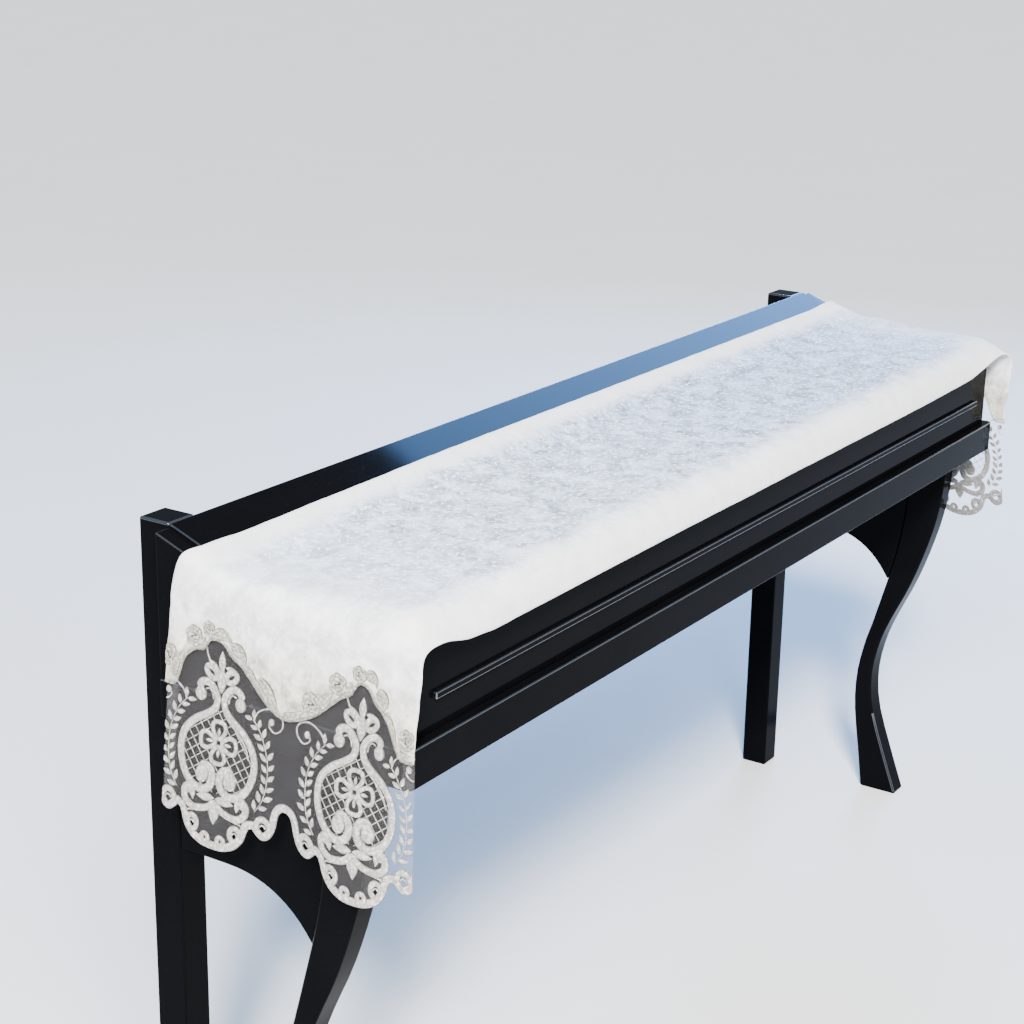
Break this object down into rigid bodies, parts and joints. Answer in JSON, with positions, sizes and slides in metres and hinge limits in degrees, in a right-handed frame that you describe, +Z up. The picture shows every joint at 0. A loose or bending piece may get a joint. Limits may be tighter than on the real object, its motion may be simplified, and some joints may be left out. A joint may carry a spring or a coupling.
{
  "type": "piano keyboard cover on a plain piano key shelf",
  "caption": "Ivory velvet runner draped over a piano's closed key lid, with arched ends, rosette trim and scalloped embroidered tulle that hangs down past the key shelf's ends.",
  "frame": {"origin": "on the floor, under the middle of the whole part's box", "axes": "+X along the keyboard towards the treble end, +Y from the player towards the case, +Z up"},
  "size_m": [1.5858, 0.3864, 0.81],
  "materials": {
    "black_lacquer": "black high-gloss lacquer on wood",
    "ivory_velvet": "ivory crushed velvet with a streaky, cool sheen",
    "embroidered_tulle": "sheer ivory tulle with satin-stitch embroidery",
    "rosette_trim": "tone-on-tone corded rosette trim"
  },
  "bodies": {
    "root": {"key_lid": "black_lacquer", "lid_back_strip": "black_lacquer", "front_rail": "black_lacquer", "rail_bead": "black_lacquer", "key_bed": "black_lacquer", "back_rail": "black_lacquer", "cheek_left": "black_lacquer", "cheek_right": "black_lacquer", "rear_post_left": "black_lacquer", "rear_post_right": "black_lacquer", "front_leg_left": "black_lacquer", "front_leg_right": "black_lacquer", "leg_bracket_left": "black_lacquer", "leg_bracket_right": "black_lacquer", "velvet_panel": "ivory_velvet", "lace_end_left": "embroidered_tulle", "lace_end_right": "embroidered_tulle", "rosette_border_left": "rosette_trim", "rosette_border_right": "rosette_trim"}
  },
  "joints": []
}
